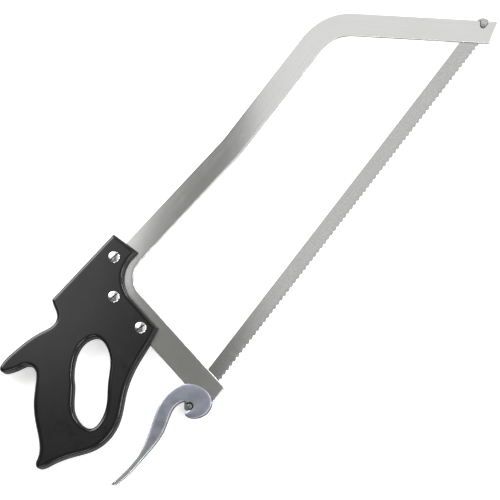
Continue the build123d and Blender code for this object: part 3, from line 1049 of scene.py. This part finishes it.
def camCurve():
    # the cam's working face, an involute that lets the blade out as the lever swings
    points = []
    rate = lever["camRise"] / math.radians(lever["swing"])
    for i in range(25):
        angle = lever["swing"] * i / 24
        way = heading(-lever["legLean"] - angle)
        reach = lever["camStart"] - rate * math.radians(angle)
        points.append(way * reach + Vector((-way.y, way.x)) * rate)
    return points


def forkOutline():
    # what the lever gives up to the bar: everything past the cam, as far as the fork reaches
    curve = camCurve()
    reach = lever["forkReach"]

    def onCircle(start, way):
        along = start.dot(way)
        return start + way * (math.sqrt(along ** 2 + reach ** 2 - start.length_squared) - along)

    last = heading(-lever["legLean"] - lever["swing"])
    first = onCircle(curve[0], heading(90 - lever["legLean"]))
    final = onCircle(curve[-1], Vector((last.y, -last.x)))
    start = math.degrees(math.atan2(first.y, first.x))
    stop = math.degrees(math.atan2(final.y, final.x)) - 360
    arc = [heading(start + (stop - start) * i / 60) * reach for i in range(61)]
    return arc + curve[::-1]


def bladeSlotOutline():
    radius = lever["slotRadius"]
    far = 60
    arc = [heading(90 + 80 * i / 20) * radius for i in range(21)]
    end = arc[-1] + heading(-lever["swing"]) * far
    return [Vector((far, radius))] + arc + [end, Vector((far, -far))]


def leverDepth(place):
    full, tip = lever["halfDepth"], lever["tipHalfDepth"]
    share = (lever["taperFrom"] - place.x) / (lever["taperFrom"] - lever["tipAt"])
    return 1 - min(max(share, 0), 1) * (1 - tip / full)


def makeLever():
    outline = evenLoop(sectionLoops("cam_lever", lever["outlineHeight"])[0], lever["step"], corner=40)
    top = lever["halfDepth"]
    profile = bothSides([(inset, top - drop) for inset, drop in lever["crown"]])
    piece = slab("hookLever", [outline], profile, "leverCasting",
                 rounded=[k for k, (inset, height) in enumerate(profile) if 0.1 < inset < 1.2],
                 spacing=4.0, depthAt=leverDepth)
    fork, slot = lever["forkHalfWidth"], lever["slotHalfWidth"]
    cutters = [
        slab("fork", [forkOutline()], [(0, -fork), (0, fork)], "leverCasting", spacing=500),
        slab("slot", [bladeSlotOutline()], [(0, -slot), (0, slot)], "leverCasting", spacing=500),
    ]
    radius, floor = lever["dishRadius"], top - lever["dishDepth"]
    width, depth = lever["dishLip"]
    over = 0.15  # the bevel runs out past the face
    dish = [(radius, floor), (radius, top - depth), (radius + width, top + over), (radius + width, top + 2)]
    cutters.append(turned("dish", dish, Vector((0, 0)), "leverCasting"))
    cutters.append(turned("dish", [(r, -z) for r, z in dish[::-1]], Vector((0, 0)), "leverCasting"))
    cutAway(piece, *cutters)
    # painted shade with grease in the dish round the pin
    refinish(piece, "oxidisedSeat", lambda place, facing:
             place.xy.length < radius + 0.05 and abs(place.z) < top - 0.3)
    smoothShade(piece)
    # the lever's upright sides get painted shade
    paintShadeOnWalls(piece, "castFlank")
    start, stop = leverFinish["wornFrom"], leverFinish["wornTo"]
    markPoints(piece, "handWorn", lambda place: min(max((place.x - start) / (stop - start), 0), 1))
    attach(piece, "lever")
    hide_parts("cam_lever")


makeLever()
print("lever made")


# Saw screws and their sleeve nuts

screw = {
    "headRadius": 6.6,
    "seat": 9.6,
    "face": 12.0,
    "domeRise": 1.5,
    "shankRadius": 2.4,
    "shankEnd": -8.0,
    "sleeveRadius": 3.5,
    "sleeveEnd": 8.0,
    "slotWidth": 1.5,
    "slotDepth": 1.1,
    "boreGap": 0.02,
    "nutWall": 1.6,
    "softening": {"Screw": 0.14, "Nut": 0.12},  # bevel on every edge
    "turns": {"upper": -10, "middle": -14, "lower": -18},  # where each slot stops
}


def driverSlot(centre, turn, low, high):
    along = heading(turn) * 10
    across = heading(turn + 90) * screw["slotWidth"] / 2
    loop = [centre.xy + along * a + across * b for a, b in ((-1, -1), (1, -1), (1, 1), (-1, 1))]
    return slab("driverSlot", [loop], [(0, low), (0, high)], "screwChrome", spacing=500)


def shadeAndGrimeTheSlot(piece, centre, turn, low, high):
    # paints shade and grime into the driver slot
    across = heading(turn + 90)
    half = screw["slotWidth"] / 2 + 0.02
    refinish(piece, "oxidisedSeat", lambda place, facing:
             low < place.z < high and abs((place.xy - centre.xy).dot(across)) < half)


def softenEdges(piece, width, angle=50):
    bevel = piece.modifiers.new("soften", "BEVEL")
    bevel.width = width * mm
    bevel.segments = 2
    bevel.limit_method = "ANGLE"
    bevel.angle_limit = math.radians(angle)
    bake(piece)


def domeProfile():
    radius, rise = screw["headRadius"], screw["domeRise"]
    ball = (radius ** 2 + rise ** 2) / (2 * rise)
    points = []
    for i in range(12):
        r = (radius - 0.2) * (1 - i / 12)
        points.append((r, screw["face"] + rise - ball + math.sqrt(ball ** 2 - r ** 2)))
    return points


def makeScrew(place):
    low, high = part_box(place + "_handle_screw")
    centre = ((low + high) / 2 - rearPin) / mm
    radius, shank = screw["headRadius"], screw["shankRadius"]
    profile = [(shank - 0.4, screw["shankEnd"]), (shank, screw["shankEnd"] + 0.4), (shank, screw["seat"]),
               (radius, screw["seat"]), (radius, screw["face"] - 0.25), (radius - 0.08, screw["face"])]
    piece = turned(place + "Screw", profile + domeProfile(), centre, "screwChrome", 64)
    top = screw["face"] + screw["domeRise"]
    cutAway(piece, driverSlot(centre, screw["turns"][place], top - screw["slotDepth"] - 0.4, top + 2))
    softenEdges(piece, screw["softening"]["Screw"])
    smoothShade(piece, 40)
    shadeAndGrimeTheSlot(piece, centre, screw["turns"][place], top - screw["slotDepth"] - 0.6, top + 1)
    markTurning(piece, centre)
    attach(piece, "saw_frame")
    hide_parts(place + "_handle_screw")


def makeNut(place):
    low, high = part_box(place + "_sleeve_nut")
    centre = ((low + high) / 2 - rearPin) / mm
    radius, sleeve = screw["headRadius"], screw["sleeveRadius"]
    bore = screw["shankRadius"] + screw["boreGap"]
    face, seat, end = -screw["face"], -screw["seat"], screw["sleeveEnd"]
    boreEnd = seat + screw["nutWall"]
    profile = [(bore, boreEnd), (0.4, boreEnd), (0.4, face), (radius - 0.5, face), (radius, face + 0.4),
               (radius, seat), (sleeve, seat), (sleeve, end), (bore, end)]
    piece = turned(place + "Nut", profile, centre, "screwChrome", 64, bored=True)
    cutAway(piece, driverSlot(centre, 90 - screw["turns"][place], face - 2, face + screw["slotDepth"]))
    softenEdges(piece, screw["softening"]["Nut"])
    smoothShade(piece, 40)
    shadeAndGrimeTheSlot(piece, centre, 90 - screw["turns"][place], face + 0.05, face + screw["slotDepth"] + 0.2)
    markTurning(piece, centre)
    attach(piece, "saw_frame")
    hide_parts(place + "_sleeve_nut")


for place in screw["turns"]:
    makeScrew(place)
    makeNut(place)
print("screws and nuts made")


# Floor, light and camera

view = {
    "target": (186.0, 55.95),  # point of the saw in the middle of the picture
    "bladeTurn": 52.34,  # degrees the blade climbs in the picture
    "tiltRight": 4.0,
    "tiltDown": 8.5,
    "distance": 3200,
    "lens": 198.95,
    "filmWidth": 36,
    "farthest": 20,  # metres
    "floorSize": 6,
}
turn = math.radians(view["bladeTurn"])
pictureRight = Vector((math.cos(turn), -math.sin(turn), 0))
pictureUp = Vector((math.sin(turn), math.cos(turn), 0))
pictureMiddle = toMetres(*view["target"], 0)


def makeCamera():
    aside = math.radians(view["tiltRight"])
    down = math.radians(view["tiltDown"])
    back = pictureRight * math.sin(aside) * math.cos(down) - pictureUp * math.sin(down)
    back.z = math.cos(aside) * math.cos(down)
    above = (pictureUp - pictureUp.dot(back) * back).normalized()
    data = bpy.data.cameras.new("camera")
    data.lens = view["lens"]
    data.sensor_width = view["filmWidth"]
    data.clip_end = view["farthest"]
    camera = bpy.data.objects.new("camera", data)
    bpy.context.scene.collection.objects.link(camera)
    facing = Matrix((above.cross(back), above, back)).transposed().to_4x4()
    camera.matrix_world = Matrix.Translation(pictureMiddle + back * view["distance"] * mm) @ facing
    bpy.context.scene.camera = camera


studio = {
    "surroundings": (0.26, 0.26, 0.25, 1),
    "cards": {  # right, up and height in metres, lean in degrees, size and radiance
        "noseCard": (0.672, 0.10, 0.4, 0, (1.4, 1.8), 0.8),
        "heelCard": (-0.478, 0.7135, 0.4, 20, (1.0, 1.4155), 1.35),
    },
    "softboxes": {  # right, up, height, size and radiance
        "upperLeftSoftbox": (-1.6, 1.6, 1.5, (1.8, 2.2), 6.0),
        "upperRightStrip": (1.57, 1.24, 1.65, (0.9, 0.4), 17.0),
        "rightStrip": (2.0, -0.16, 1.65, (0.9, 0.35), 14.0),
        "lowerRightStrip": (1.29, -1.53, 1.65, (1.0, 0.35), 10.0),
        "lowerStrip": (-0.16, -2.0, 1.65, (1.0, 0.35), 7.0),
    },
}


def areaLight(name, place, facing, size, radiance):
    # a softbox of even brightness, facing along -z of its own axes, and out of the camera's sight
    data = bpy.data.lights.new(name, "AREA")
    data.shape = "RECTANGLE"
    data.size, data.size_y = size
    data.energy = radiance * math.pi * size[0] * size[1]
    light = bpy.data.objects.new(name, data)
    light.visible_camera = False
    bpy.context.scene.collection.objects.link(light)
    light.matrix_world = Matrix.Translation(place) @ facing.to_4x4()


def overheadCard(name, right, up, height, lean, size, radiance):
    # level card over the saw: lean is its long side's turn from the picture's upward way
    angle = math.radians(lean)
    along = pictureUp * math.cos(angle) + pictureRight * math.sin(angle)
    across = along.cross(Vector((0, 0, 1)))
    facing = Matrix((across, along, Vector((0, 0, 1)))).transposed()
    place = pictureMiddle + pictureRight * right + pictureUp * up + Vector((0, 0, height))
    areaLight(name, place, facing, size, radiance)


def sideSoftbox(name, right, up, height, size, radiance):
    place = pictureMiddle + pictureRight * right + pictureUp * up + Vector((0, 0, height))
    facing = (place - pictureMiddle).to_track_quat("Z", "Y").to_matrix()
    areaLight(name, place, facing, size, radiance)


def makeLight():
    world = bpy.data.worlds.new("studio")
    world.use_nodes = True
    world.node_tree.nodes["Background"].inputs["Color"].default_value = studio["surroundings"]
    bpy.context.scene.world = world
    for name, card in studio["cards"].items():
        overheadCard(name, *card)
    for name, softbox in studio["softboxes"].items():
        sideSoftbox(name, *softbox)


def makeFloor():
    bm = bmesh.new()
    bmesh.ops.create_grid(bm, x_segments=4, y_segments=4, size=view["floorSize"])
    floor = newPiece("floor", bm, "paleFloor")
    floor.location.z = cadBox[0][2]


makeFloor()
makeCamera()
makeLight()
bpy.context.scene.view_settings.view_transform = "Standard"
print("floor, light and camera set")
